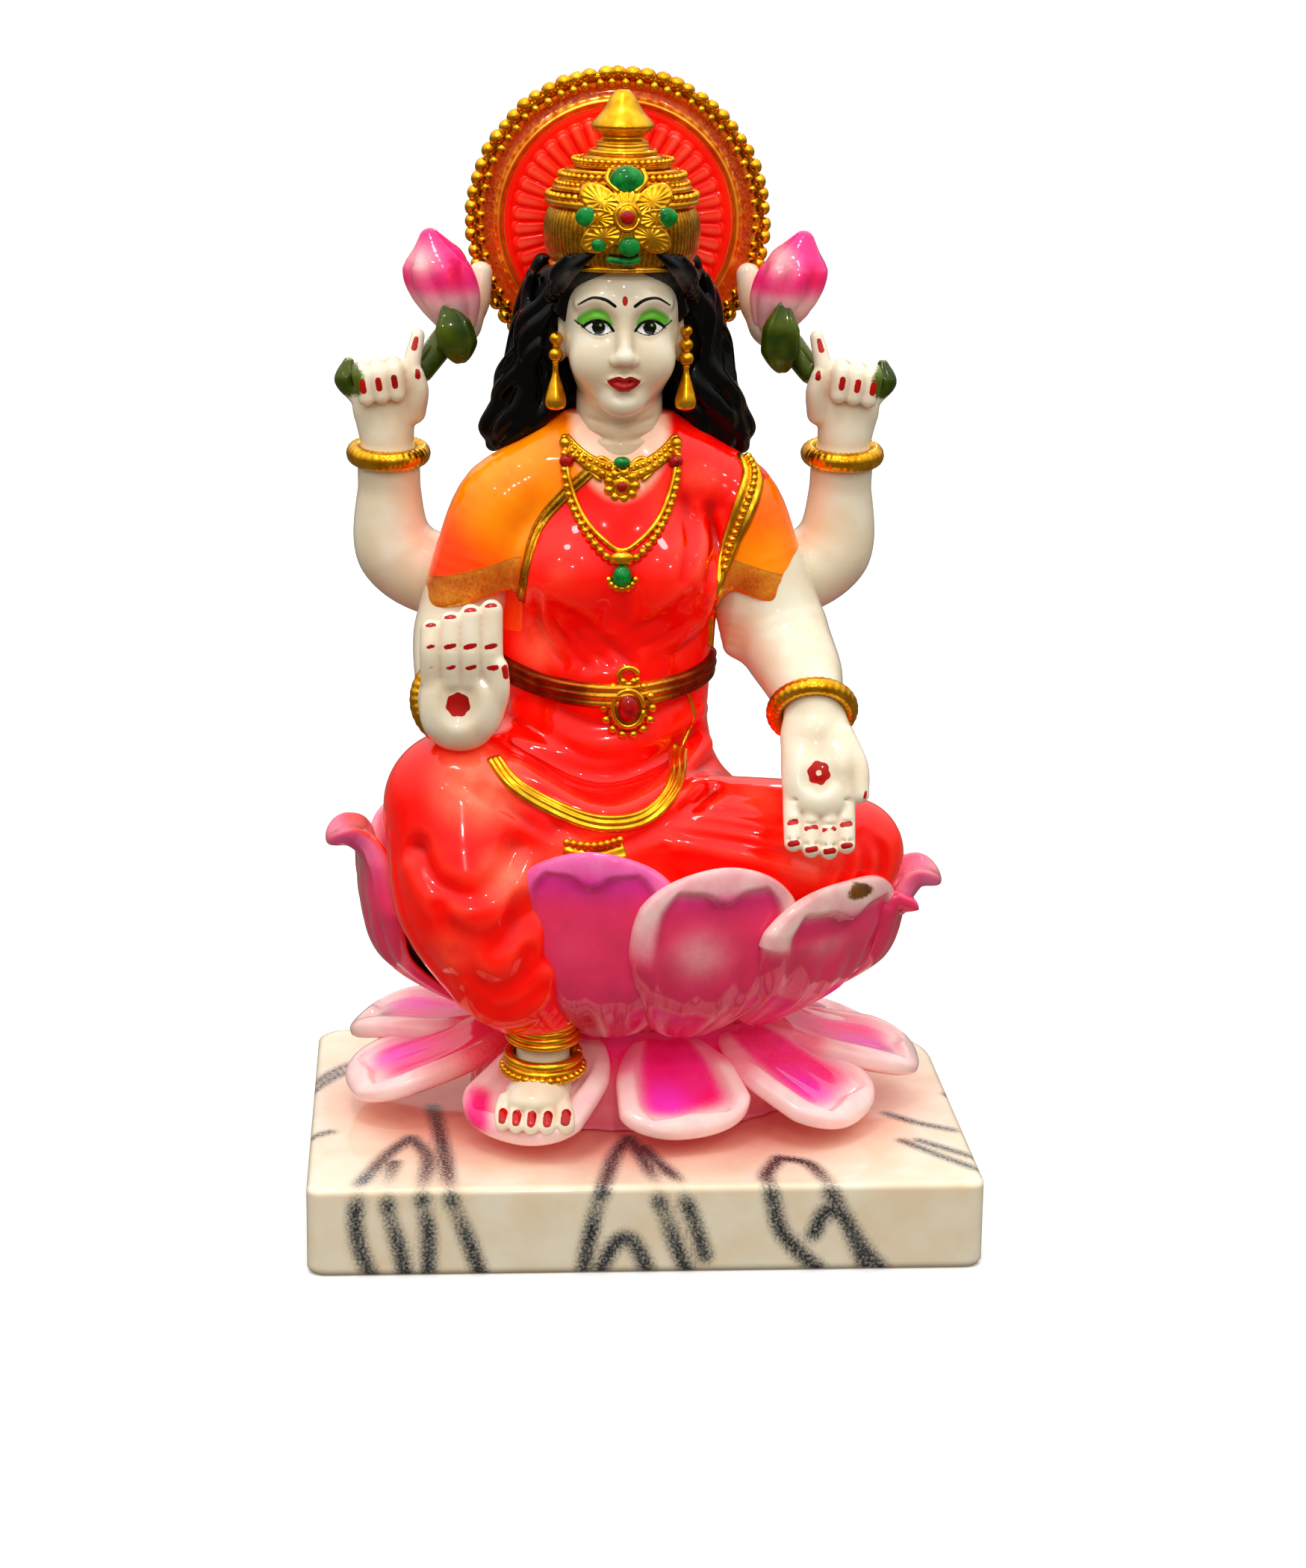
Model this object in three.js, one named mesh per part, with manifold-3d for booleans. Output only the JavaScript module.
// A four-armed goddess seated on a lotus: a painted cast-resin shrine figure on a square plinth.
// Millimetres, +Z up. The origin is the middle of the plinth's underside, and the figure faces -Y.
// Left and right are the figure's own: its right hand is on the -X side.
import * as THREE from "three";
import { mergeVertices, toCreasedNormals } from "three/addons/utils/BufferGeometryUtils.js";
import Module from "manifold-3d";

// ---- Driving dimensions ----
const HEIGHT = 203; // plinth underside to the top of the halo's beads
const PLINTH = { width: 118, depth: 86, height: 16, corner: 3, backLeft: 5, backRight: 18, bevel: 1 };
const AXIS_X = -4; // the figure sits a little to its right of the plinth's middle
const GAP = 0.3; // clearance between neighbouring castings
const LOTUS = {
  y: 4, // middle of the flower, front to back
  waistZ: 36, // where the lower petals meet the cup
  lowerTip: { x: 53, y: 35, z: 20 }, // half-widths of the ring of lower tips, and its height
  cup: { x: 48, y: 36 }, // half-widths of the cup at its rim
};
const HALO = { y: 22, radius: 27.8, thickness: 5, bead: 1.9 };
HALO.z = HEIGHT - HALO.radius;
const HEAD = { y: -2, z: 159, halfWidth: 10.8, halfDepth: 12, halfHeight: 14.5 };
const CROWN = { bottomZ: 170.5, radius: 13.4, neckZ: 190.6, tipZ: 199.8 };
const WRIST = { x: 40.5, y: 8, z: 135.5 }; // raised rear wrists, x from the figure's axis
const BANGLE = { radius: 5.8, wire: 1.5 };

// ---- Finishes ----
const finish = (color, roughness = 0.25, metalness = 0) =>
  new THREE.MeshStandardMaterial({ color, roughness, metalness });
const SKIN = finish(0xf3ead8);
const RED = finish(0xff3a1c);
const ORANGE = finish(0xff9a1a);
const PINK = finish(0xe8348f);
const ROSE = finish(0xf58fb8);
const GOLD = finish(0xc8971d, 0.35, 0.9);
const BLACK = finish(0x111114);
const MARBLE = finish(0xf2ece2);

const { Vector3 } = THREE;
const vec = (x, y, z) => new Vector3(x, y, z);
const wasm = await Module();
wasm.setup();

// A closed geometry as a solid, with its faces turned outwards.
function solidOf(geometry) {
  const bare = geometry.clone();
  for (const name of Object.keys(bare.attributes)) {
    if (name !== "position") bare.deleteAttribute(name);
  }
  const merged = mergeVertices(bare, 1e-3);
  const vertProperties = merged.attributes.position.array;
  const make = (triVerts) => new wasm.Manifold(new wasm.Mesh({ numProp: 3, vertProperties, triVerts }));
  const triVerts = new Uint32Array(merged.index.array);
  const made = make(triVerts);
  return made.volume() > 0 ? made : make(triVerts.reverse());
}

function geometryOf(solid) {
  const mesh = solid.getMesh();
  const geometry = new THREE.BufferGeometry();
  geometry.setAttribute("position", new THREE.BufferAttribute(mesh.vertProperties, 3));
  geometry.setIndex(new THREE.BufferAttribute(mesh.triVerts, 1));
  return toCreasedNormals(geometry, Math.PI / 5);
}

// A value read from a row of evenly spaced ones, where t runs from 0 to 1.
function along(row, t) {
  const place = t * (row.length - 1);
  const i = Math.min(Math.floor(place), row.length - 2);
  return THREE.MathUtils.lerp(row[i], row[i + 1], place - i);
}

// A round-ended form swept along a smooth path. A sphere's rings become its sections, each half as wide
// as wide says along the side direction, and half as deep as deep says across it. A cupped form's edges
// rise by cup times the square of the share of its half-width.
function limb(path, wide, deep, grow = 0, { side = vec(1, 0, 0), cup = 0, blunt = 3, sides = 9, rings = 8 } = {}) {
  const curve = new THREE.CatmullRomCurve3(path);
  const geometry = new THREE.SphereGeometry(1, sides, rings);
  const places = geometry.attributes.position;
  for (let i = 0; i < places.count; i += 1) {
    const unit = new Vector3().fromBufferAttribute(places, i);
    const t = (1 - unit.y) / 2;
    const round = Math.hypot(unit.x, unit.z);
    const full = (1 - Math.abs(unit.y) ** blunt) ** (1 / blunt);
    const across = round > 1e-6 ? unit.x / round : 0;
    const through = round > 1e-6 ? unit.z / round : 0;
    const tangent = curve.getTangent(t);
    const normal = new Vector3().crossVectors(tangent, side).normalize();
    const sideways = new Vector3().crossVectors(normal, tangent).normalize();
    const place = curve.getPoint(t).addScaledVector(tangent, (2 * t - 1) * grow);
    place.addScaledVector(sideways, across * full * (along(wide, t) + grow));
    place.addScaledVector(normal, through * full * (along(deep, t) + grow) + cup * (across * full) ** 2);
    places.setXYZ(i, place.x, place.y, place.z);
  }
  return solidOf(geometry);
}

// A turned form about +Z, from [radius, height] pairs that start and end on the axis.
function turned(profile, x, y, { scaleY = 1, sides = 20, grow = 0 } = {}) {
  const points = profile.map(([r, z], i) => {
    const end = i === 0 ? -grow : i === profile.length - 1 ? grow : 0;
    return new THREE.Vector2(r > 0 ? r + grow : 0, z + end);
  });
  const geometry = new THREE.LatheGeometry(points, sides);
  geometry.rotateX(Math.PI / 2);
  geometry.scale(1, scaleY, 1);
  geometry.translate(x, y, 0);
  return solidOf(geometry);
}

// A ring of round wire about an axis, squashed to an oval if scaleY says so.
function ring(centre, radius, wire, grow = 0, { tilt = [0, 0, 0], scaleY = 1, scaleZ = 1, sides = 16 } = {}) {
  const geometry = new THREE.TorusGeometry(radius, wire + grow, 6, sides);
  geometry.scale(1, scaleY, scaleZ);
  geometry.rotateX(tilt[0]).rotateY(tilt[1]).rotateZ(tilt[2]);
  geometry.translate(centre.x, centre.y, centre.z);
  return solidOf(geometry);
}

// An egg-shaped lump.
function lump(centre, halfX, halfY, halfZ, grow = 0, { tiltX = 0, sides = 10, rings = 7 } = {}) {
  const geometry = new THREE.SphereGeometry(1, sides, rings);
  geometry.rotateX(Math.PI / 2).scale(halfX + grow, halfY + grow, halfZ + grow);
  geometry.rotateX(tiltX);
  geometry.translate(centre.x, centre.y, centre.z);
  return solidOf(geometry);
}

// A cord of round section along a smooth path.
function cord(path, radius, grow = 0, steps = 16) {
  const section = new THREE.Shape().absarc(0, 0, radius + grow, 0, 2 * Math.PI);
  const extrudePath = new THREE.CatmullRomCurve3(path);
  return solidOf(new THREE.ExtrudeGeometry(section, { steps, curveSegments: 3, extrudePath }));
}

// ---- Plinth ----
function plinth(grow = 0) {
  const { width, depth, height, corner, backLeft, backRight, bevel } = PLINTH;
  const [x, y] = [width / 2 - bevel + grow, depth / 2 - bevel + grow];
  const outline = new THREE.Shape();
  outline.absarc(-x + corner, -y + corner, corner, Math.PI, 1.5 * Math.PI);
  outline.absarc(x - corner, -y + corner, corner, 1.5 * Math.PI, 2 * Math.PI);
  outline.absarc(x - backRight, y - backRight, backRight, 0, 0.5 * Math.PI);
  outline.absarc(-x + backLeft, y - backLeft, backLeft, 0.5 * Math.PI, Math.PI);
  const geometry = new THREE.ExtrudeGeometry(outline, {
    depth: height - 2 * bevel + 2 * grow,
    bevelThickness: bevel,
    bevelSize: bevel,
    bevelSegments: 1,
    curveSegments: 4,
  });
  geometry.translate(0, 0, bevel - grow);
  return solidOf(geometry);
}

// ---- Lotus ----
// A point on the flower's oval, a share of the way out, at an angle in degrees from +X.
function onLotus(angle, share, halfX, halfY, z) {
  const turn = THREE.MathUtils.degToRad(angle);
  return vec(share * halfX * Math.cos(turn), LOTUS.y + share * halfY * Math.sin(turn), z);
}

const tangentOf = (angle) => {
  const turn = THREE.MathUtils.degToRad(angle);
  return vec(-Math.sin(turn), Math.cos(turn), 0);
};

// One petal of the flattened ring that lies on the plinth.
function lowerPetal({ angle, tipZ = LOTUS.lowerTip.z, reach = 1 }, grow = 0) {
  const { x, y } = LOTUS.lowerTip;
  const path = [
    onLotus(angle, 0.46, x, y, 32),
    onLotus(angle, 0.64, x, y, 27.5),
    onLotus(angle, 0.86 * reach, x, y, tipZ + 2.4),
    onLotus(angle, reach, x, y, tipZ + 0.4),
  ];
  const options = { side: tangentOf(angle), cup: 1.2, blunt: 3, sides: 10, rings: 6 };
  return limb(path, [7.5, 11, 12.5, 10], [2.6, 2.8, 2.8, 2.2], grow, options);
}

const LOWER_PETALS = [
  { name: "lower_petal_under_foot", angle: 244, reach: 1.02 },
  { name: "lower_petal_front", angle: 280, reach: 0.97 },
  { name: "lower_petal_front_left", angle: 317, reach: 1.03 },
  { name: "lower_petal_left", angle: 357, tipZ: 23 },
  { name: "lower_petal_back_left", angle: 36, tipZ: 22.5 },
  { name: "lower_petal_back", angle: 76, tipZ: 21 },
  { name: "lower_petal_back_right", angle: 116, tipZ: 21 },
  { name: "lower_petal_rear_right", angle: 157, tipZ: 25, reach: 1.05 },
  { name: "lower_petal_right", angle: 195, tipZ: 20.5 },
];

const lotusWaist = (grow = 0) =>
  turned(
    [[0, 16.3], [30, 16.3], [29.5, 21], [27, 31], [26, LOTUS.waistZ - 1], [0, LOTUS.waistZ - 1]],
    0,
    LOTUS.y,
    { scaleY: 0.68, grow },
  );

const lotusCup = (grow = 0) =>
  turned(
    [[0, LOTUS.waistZ - 0.7], [28, LOTUS.waistZ - 0.7], [37, 41], [42.5, 48], [44, 56], [43, 62], [0, 62]],
    0,
    LOTUS.y,
    { scaleY: LOTUS.cup.y / LOTUS.cup.x, grow },
  );

// One petal of the cup, from the waist up to a tip that curls outwards.
function cupPetal({ angle, tipZ, reach = 1, curl = 3, half = 14 }, grow = 0) {
  const { x, y } = LOTUS.cup;
  const path = [
    onLotus(angle, 0.7, x, y, 37.5),
    onLotus(angle, 0.93, x, y, 46),
    onLotus(angle, 1.0 * reach, x, y, 56),
    onLotus(angle, 1.02 * reach, x, y, tipZ - 3),
    onLotus(angle, 1.03 * reach + curl / x, x, y, tipZ - 1.5),
  ];
  const options = { side: tangentOf(angle), cup: 3, blunt: 4, sides: 10, rings: 7 };
  return limb(path, [half * 0.5, half * 0.9, half, half * 0.85, half * 0.5], [1.5, 2, 2, 1.9, 1.8], grow, options);
}

const CUP_PETALS = [
  { name: "cup_petal_front_right", angle: 259, tipZ: 73, half: 12 },
  { name: "cup_petal_front", angle: 285, tipZ: 70.5, half: 13 },
  { name: "cup_petal_front_left", angle: 318, tipZ: 66, reach: 1.02, half: 15 },
  { name: "cup_petal_left", angle: 353, tipZ: 65, curl: 7 },
  { name: "cup_petal_back_left", angle: 28, tipZ: 67 },
  { name: "cup_petal_rear_left", angle: 68, tipZ: 67 },
  { name: "cup_petal_rear_right", angle: 112, tipZ: 67 },
  { name: "cup_petal_back_right", angle: 153, tipZ: 69 },
  { name: "cup_petal_right", angle: 190, tipZ: 70, curl: 5 },
];

// ---- Figure: cloth and skin ----
const torso = (grow = 0) =>
  limb(
    [vec(AXIS_X, 2, 64), vec(AXIS_X - 1, 1, 82), vec(AXIS_X - 1.5, 0, 98), vec(AXIS_X, -3, 118), vec(AXIS_X, 1, 139)],
    [27, 21.5, 17.4, 19.5, 13],
    [18, 15, 11.5, 14, 8],
    grow,
    { blunt: 6, sides: 14, rings: 9 },
  );

const leftLeg = (grow = 0) =>
  limb(
    [vec(-14, -12, 69), vec(10, -14, 70), vec(30, -13, 68), vec(46.5, -9, 66)],
    [14, 16, 15.5, 13],
    [8.5, 10, 11.5, 10],
    grow,
    { side: vec(0, 1, 0), blunt: 4, sides: 12, rings: 8 },
  );

const rightLeg = (grow = 0) =>
  limb(
    [vec(-22, -4, 76), vec(-33, -17, 78), vec(-31, -24, 62), vec(-23, -25, 49), vec(-18, -22, 41)],
    [12, 12.5, 14, 11, 6.5],
    [11, 10.5, 9, 8.5, 6],
    grow,
    { side: vec(0.95, 0.3, 0.1), blunt: 5, sides: 12, rings: 9 },
  );

const rightFoot = (grow = 0) =>
  limb(
    [vec(-17.4, -20.5, 39), vec(-17.6, -21, 32), vec(-19, -26, 26.5), vec(-20.5, -31.5, 24)],
    [4.6, 5.2, 6.8, 6],
    [4.6, 5, 3.4, 1.9],
    grow,
    { blunt: 5 },
  );

const head = (grow = 0) => {
  const skull = lump(vec(AXIS_X, HEAD.y, HEAD.z), HEAD.halfWidth, HEAD.halfDepth, HEAD.halfHeight, grow, {
    sides: 14,
    rings: 10,
  });
  const neck = turned([[0, 136], [9.5, 136], [7.6, 142], [7.4, 152], [0, 152]], AXIS_X, 0, { sides: 12, grow });
  return skull.add(neck);
};

const hairLock = (sign, grow = 0) =>
  limb(
    [vec(AXIS_X + sign * 10.5, 4, 171), vec(AXIS_X + sign * 14, 4.5, 157), vec(AXIS_X + sign * 18.5, 6, 138.5)],
    [4.5, 6, 5.6],
    [6.5, 7, 6],
    grow,
    { blunt: 4, rings: 7 },
  );

const backHair = (grow = 0) =>
  limb(
    [vec(AXIS_X, 12, 168), vec(AXIS_X, 14, 150), vec(AXIS_X, 13.5, 132), vec(AXIS_X, 13, 112)],
    [15, 19, 20, 14],
    [5.5, 4.5, 4.2, 3],
    grow,
    { blunt: 5, sides: 10, rings: 7 },
  );

const sleeve = (sign, grow = 0) =>
  limb(
    [vec(AXIS_X + sign * 14.5, 1, 136), vec(AXIS_X + sign * 20.8, 0, 128), vec(AXIS_X + sign * 25, -0.5, 113)],
    [5, 7.6, 8.6],
    [7, 8.5, 9],
    grow,
    { blunt: 8, sides: 10, rings: 7 },
  );

const rightArm = (grow = 0) =>
  limb(
    [vec(-30, -0.5, 116), vec(-33, -2, 104), vec(-33, -9, 97), vec(-32.5, -21.5, 96.5)],
    [7, 7.6, 7, 4.8],
    [7, 7.6, 6.4, 4.6],
    grow,
    { blunt: 5 },
  );

const leftArm = (grow = 0) =>
  limb(
    [vec(21.5, -0.5, 116), vec(25, -3, 105), vec(28, -11, 99), vec(29.2, -20.5, 95)],
    [7.4, 8.6, 7.6, 5.2],
    [7.4, 8, 6.6, 4.8],
    grow,
    { blunt: 5 },
  );

const rightHand = (grow = 0) =>
  limb(
    [vec(-32, -24.5, 91.5), vec(-32.2, -26, 98), vec(-32, -26.5, 106), vec(-31.8, -24.5, 115.8)],
    [5, 7.8, 7.8, 6.6],
    [4, 4, 3.2, 2.4],
    grow,
    { blunt: 5 },
  );

const leftHand = (grow = 0) =>
  limb(
    [vec(29.2, -20, 96.5), vec(29.5, -26, 89), vec(29.5, -31, 81.5), vec(29, -34.5, 73.8)],
    [5, 7.6, 7, 6],
    [4.2, 3.8, 3, 2.4],
    grow,
    { blunt: 5 },
  );

const rearArm = (sign, grow = 0) =>
  limb(
    [
      vec(AXIS_X + sign * 14, 10, 122),
      vec(AXIS_X + sign * 30, 9.5, 112),
      vec(AXIS_X + sign * 39.6, 9.5, 117.5),
      vec(AXIS_X + sign * WRIST.x, WRIST.y + 0.5, WRIST.z - 1),
    ],
    [7.5, 7.8, 7.6, 5.2],
    [7, 7.6, 7, 5],
    grow,
    { side: vec(0, 1, 0), blunt: 5, rings: 9 },
  );

const rearHand = (sign, grow = 0) =>
  limb(
    [
      vec(AXIS_X + sign * WRIST.x, WRIST.y, WRIST.z + 1),
      vec(AXIS_X + sign * 41.2, 7, 145),
      vec(AXIS_X + sign * 36.8, 7.4, 151),
      vec(AXIS_X + sign * 33, 9, 158.5),
    ],
    [4.6, 6, 5, 2],
    [5, 6.6, 5, 2],
    grow,
    { side: vec(0, 1, 0), blunt: 4 },
  );

const lotusBud = (sign, grow = 0) =>
  limb(
    [
      vec(AXIS_X + sign * 27, 14, 155),
      vec(AXIS_X + sign * 29.5, 13, 161),
      vec(AXIS_X + sign * 32, 12.5, 167),
      vec(AXIS_X + sign * 33.6, 12, 174),
    ],
    [3.4, 5.2, 5.8, 1.8],
    [3.4, 5, 5.4, 1.8],
    grow,
    { blunt: 3 },
  );

// ---- Halo, crown and jewels ----
// The halo is turned about the axis from front to back, so its profile is [radius, distance forward].
const haloDisc = (grow = 0) => {
  const profile = [
    [0, -2.5], [25, -2.5], [25.4, 0.8], [22.2, 1.8], [20.6, 1], [0, 1],
  ].map(([r, y]) => new THREE.Vector2(r > 0 ? r + grow : 0, y + Math.sign(y) * grow));
  const geometry = new THREE.LatheGeometry(profile, 30);
  geometry.rotateX(Math.PI);
  geometry.translate(AXIS_X + 0.6, HALO.y, HALO.z);
  return solidOf(geometry);
};

const haloBeads = (grow = 0) =>
  ring(vec(AXIS_X + 0.6, HALO.y, HALO.z), HALO.radius - HALO.bead, HALO.bead, grow, {
    tilt: [Math.PI / 2, 0, 0],
    sides: 30,
  });

const crown = (grow = 0) =>
  turned(
    [[0, CROWN.bottomZ], [12.6, CROWN.bottomZ], [CROWN.radius, 175], [CROWN.radius, 180], [12.6, 183],
      [10, 188], [6.4, CROWN.neckZ], [0, CROWN.neckZ]],
    AXIS_X,
    HEAD.y,
    { grow },
  );

const crownFinial = (grow = 0) =>
  turned(
    [[0, CROWN.neckZ + 0.3], [4.2, CROWN.neckZ + 0.3], [3.6, 191.8], [5.4, 193.4], [3.4, 196.6], [0, CROWN.tipZ]],
    AXIS_X,
    HEAD.y + 1,
    { sides: 12, grow },
  );

const crownJewel = (grow = 0) =>
  lump(vec(AXIS_X, HEAD.y - CROWN.radius, 179), 8, 2.2, 8.4, grow, { tiltX: 0.06 });

const earring = (sign, grow = 0) => lump(vec(AXIS_X + sign * 11.4, -2.5, 151), 1.6, 1.8, 6, grow);

const choker = (grow = 0) =>
  ring(vec(AXIS_X, -0.5, 138.6), 9, 1.6, grow, { tilt: [0.28, 0, 0], scaleY: 0.94, scaleZ: 1.3 });

const longNecklace = (grow = 0) =>
  cord(
    [vec(-13.5, -5.5, 139), vec(-13, -12, 132.6), vec(-9.5, -16.2, 126.6), vec(AXIS_X, -17.6, 121.5),
      vec(1.5, -16.2, 126.6), vec(5, -12, 132.6), vec(5.5, -5.5, 139)],
    1.2,
    grow,
    16,
  );

const belt = (grow = 0) =>
  ring(vec(AXIS_X - 1.5, 0, 98.4), 17.2, 1.5, grow, { tilt: [0.14, 0, 0], scaleY: 0.7, scaleZ: 1.3, sides: 24 });

const beltBuckle = (grow = 0) => lump(vec(-2.6, -13.6, 94.6), 5, 2.2, 6.2, grow);

const lapBorder = (grow = 0) =>
  cord(
    [vec(-26, -27, 86), vec(-18, -28.5, 80), vec(-9, -29, 76.5), vec(2, -28.5, 77.5), vec(8, -24, 83)],
    1.1,
    grow,
    14,
  );

const shoulderBorder = (grow = 0) =>
  cord(
    [vec(16.5, -6.8, 135), vec(17, -10.8, 128), vec(15, -13.4, 119), vec(13.8, -12.6, 110), vec(12.8, -11, 103)],
    1.3,
    grow,
    12,
  );

const rearBangle = (sign, grow = 0) =>
  ring(vec(AXIS_X + sign * WRIST.x, WRIST.y, WRIST.z), BANGLE.radius, BANGLE.wire, grow, { tilt: [0.12, 0, 0] });

const rightBangle = (grow = 0) =>
  ring(vec(-32.4, -19.5, 97), BANGLE.radius + 1.4, BANGLE.wire, grow, { tilt: [1.35, 0, 0] });

const leftBangle = (grow = 0) =>
  ring(vec(29, -20, 95), BANGLE.radius + 1, BANGLE.wire, grow, { tilt: [-0.95, 0.1, 0] });

const anklet = (z, radius, grow = 0) => ring(vec(-17.5, -21, z), radius, 1.3, grow, { tilt: [0.1, 0, 0], scaleZ: 1.2 });

// ---- Assembly ----
// Each casting is cut back from the ones listed before it, so a ring or jewel keeps its whole shape.
const [LEFT, RIGHT] = [1, -1];
const CASTINGS = [
  ["plinth", plinth, MARBLE],
  ["right_foot", rightFoot, SKIN],
  ["upper_anklet", (grow) => anklet(36.6, 5.2, grow), GOLD],
  ["lower_anklet", (grow) => anklet(31.6, 5.8, grow), GOLD],
  ["halo_beads", haloBeads, GOLD],
  ["halo_disc", haloDisc, RED],
  ["crown_jewel", crownJewel, GOLD],
  ["crown_finial", crownFinial, GOLD],
  ["crown", crown, GOLD],
  ["right_earring", (grow) => earring(RIGHT, grow), GOLD],
  ["left_earring", (grow) => earring(LEFT, grow), GOLD],
  ["long_necklace", longNecklace, GOLD],
  ["choker", choker, GOLD],
  ["belt_buckle", beltBuckle, GOLD],
  ["belt", belt, GOLD],
  ["lap_border", lapBorder, GOLD],
  ["shoulder_border", shoulderBorder, GOLD],
  ["right_bangle", rightBangle, GOLD],
  ["left_bangle", leftBangle, GOLD],
  ["rear_right_bangle", (grow) => rearBangle(RIGHT, grow), GOLD],
  ["rear_left_bangle", (grow) => rearBangle(LEFT, grow), GOLD],
  ["right_hand", rightHand, SKIN],
  ["left_hand", leftHand, SKIN],
  ["rear_right_hand", (grow) => rearHand(RIGHT, grow), SKIN],
  ["rear_left_hand", (grow) => rearHand(LEFT, grow), SKIN],
  ["right_lotus_bud", (grow) => lotusBud(RIGHT, grow), ROSE],
  ["left_lotus_bud", (grow) => lotusBud(LEFT, grow), ROSE],
  ["head", head, SKIN],
  ["right_hair_lock", (grow) => hairLock(RIGHT, grow), BLACK],
  ["left_hair_lock", (grow) => hairLock(LEFT, grow), BLACK],
  ["back_hair", backHair, BLACK],
  ["right_sleeve", (grow) => sleeve(RIGHT, grow), ORANGE],
  ["left_sleeve", (grow) => sleeve(LEFT, grow), ORANGE],
  ["right_arm", rightArm, SKIN],
  ["left_arm", leftArm, SKIN],
  ["right_leg", rightLeg, RED],
  ["left_leg", leftLeg, RED],
  ["torso", torso, RED],
  ["rear_right_arm", (grow) => rearArm(RIGHT, grow), SKIN],
  ["rear_left_arm", (grow) => rearArm(LEFT, grow), SKIN],
  ...CUP_PETALS.map((petal) => [petal.name, (grow) => cupPetal(petal, grow), PINK]),
  ["lotus_cup", lotusCup, PINK],
  ...LOWER_PETALS.map((petal) => [petal.name, (grow) => lowerPetal(petal, grow), ROSE]),
  ["lotus_waist", lotusWaist, ROSE],
];

const largest = (solid) => solid.decompose().reduce((a, b) => (b.volume() > a.volume() ? b : a));

function overlap(a, b) {
  return [0, 1, 2].every((k) => a.min[k] < b.max[k] && b.min[k] < a.max[k]);
}

const statue = new THREE.Group();
const placed = [];
for (const [name, make, material] of CASTINGS) {
  let solid = make();
  for (const earlier of placed) {
    if (overlap(solid.boundingBox(), earlier.boundingBox())) solid = solid.subtract(earlier);
  }
  const mesh = new THREE.Mesh(geometryOf(largest(solid)), material);
  mesh.name = name;
  statue.add(mesh);
  placed.push(make(GAP));
}

export default statue;
